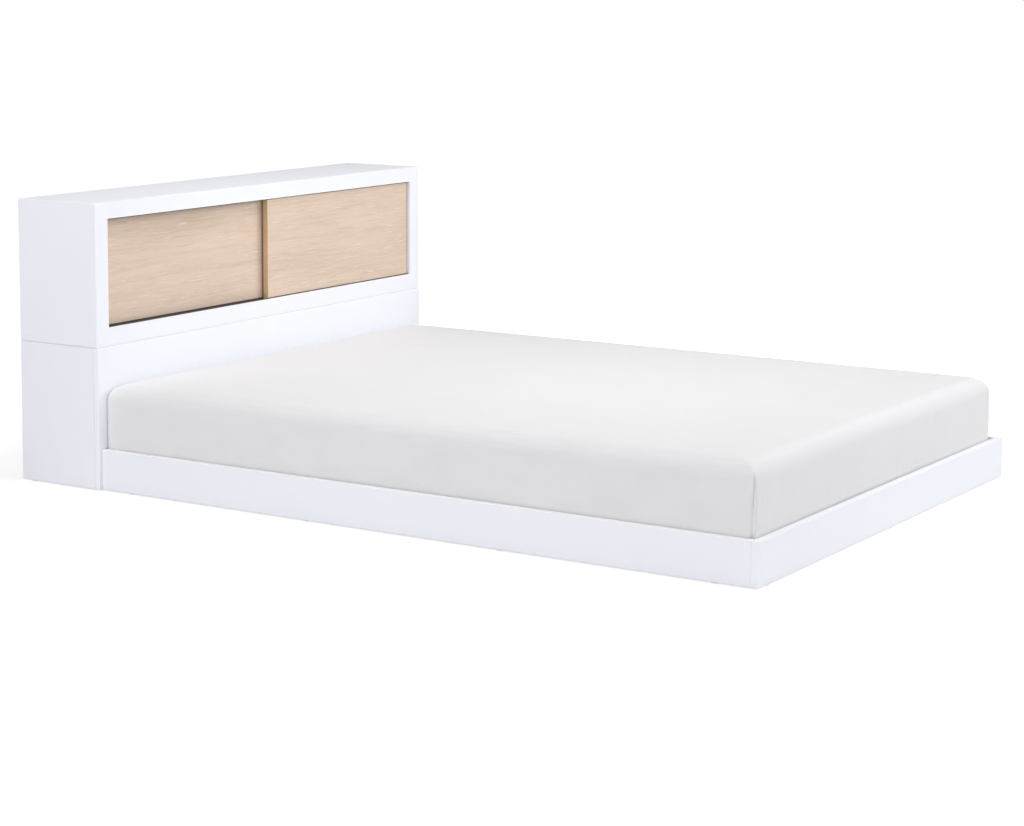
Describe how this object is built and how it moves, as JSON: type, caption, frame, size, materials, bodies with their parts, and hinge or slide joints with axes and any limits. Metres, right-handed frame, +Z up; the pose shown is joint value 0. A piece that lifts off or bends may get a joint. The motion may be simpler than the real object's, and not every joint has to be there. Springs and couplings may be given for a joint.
{
  "type": "bookcase bed",
  "caption": "Low platform bed with a bookcase headboard: a hutch with bypass sliding doors on a plain lower cabinet, a low rail all round, slats, a mattress and a fitted sheet.",
  "frame": {"origin": "on the floor, under the middle of the whole bed", "axes": "+X across the bed, from its left to its right as seen from the foot; +Y from the foot to the headboard; +Z up"},
  "size_m": [1.625, 2.352, 0.82],
  "materials": {
    "white_lacquer": "satin white lacquer",
    "back_board": "white painted board",
    "oak_veneer": "pale oak veneer, matt, grain across the width",
    "pine": "planed, uncoated",
    "beech": "fluted dowel stock, uncoated",
    "dark_track": "dark brown, low sheen",
    "nylon": "natural nylon",
    "black_plastic": "black, fine texture",
    "rubber": "soft, matt",
    "steel": "zinc plated",
    "ticking": "knitted mattress cover",
    "sheet_cotton": "smooth white cotton"
  },
  "bodies": {
    "bed": {"hutch_top": "white_lacquer", "hutch_bottom": "white_lacquer", "hutch_side_left": "white_lacquer", "hutch_side_right": "white_lacquer", "hutch_divider": "white_lacquer", "hutch_back_panel": "back_board", "upper_track": "dark_track", "lower_track": "dark_track", "door_buffers": "rubber", "hutch_bolts": "steel", "hutch_bolt_nuts": "steel", "hutch_dowels": "beech", "base_front_panel": "white_lacquer", "base_side_left": "white_lacquer", "base_side_right": "white_lacquer", "base_top_panel": "white_lacquer", "base_bottom_panel": "white_lacquer", "base_divider": "white_lacquer", "base_back_panel": "back_board", "base_dowels": "beech", "back_panel_screws": "steel", "side_rail_left": "white_lacquer", "side_rail_right": "white_lacquer", "foot_rail": "white_lacquer", "ledge_left": "pine", "ledge_right": "pine", "ledge_screws": "steel", "centre_beam": "pine", "beam_brackets": "steel", "centre_feet": "black_plastic", "corner_brackets": "steel", "bracket_screws": "steel", "slat_screws": "steel", "floor_glides": "nylon", "mattress": "ticking", "fitted_sheet": "sheet_cotton", "slat_1": "pine", "slat_2": "pine", "slat_3": "pine", "slat_4": "pine", "slat_5": "pine", "slat_6": "pine", "slat_7": "pine", "slat_8": "pine", "slat_9": "pine", "slat_10": "pine", "slat_11": "pine", "slat_12": "pine", "slat_13": "pine"},
    "front_door": {"front_door": "oak_veneer", "front_door_glides": "nylon"},
    "rear_door": {"rear_door": "oak_veneer", "rear_door_glides": "nylon"}
  },
  "joints": [
    {"name": "front_door_slide", "type": "slide", "parent": "bed", "child": "front_door", "axis": [1, 0, 0], "range_m": [-0.7505, 0]},
    {"name": "rear_door_slide", "type": "slide", "parent": "bed", "child": "rear_door", "axis": [1, 0, 0], "range_m": [0, 0.7505]}
  ]
}
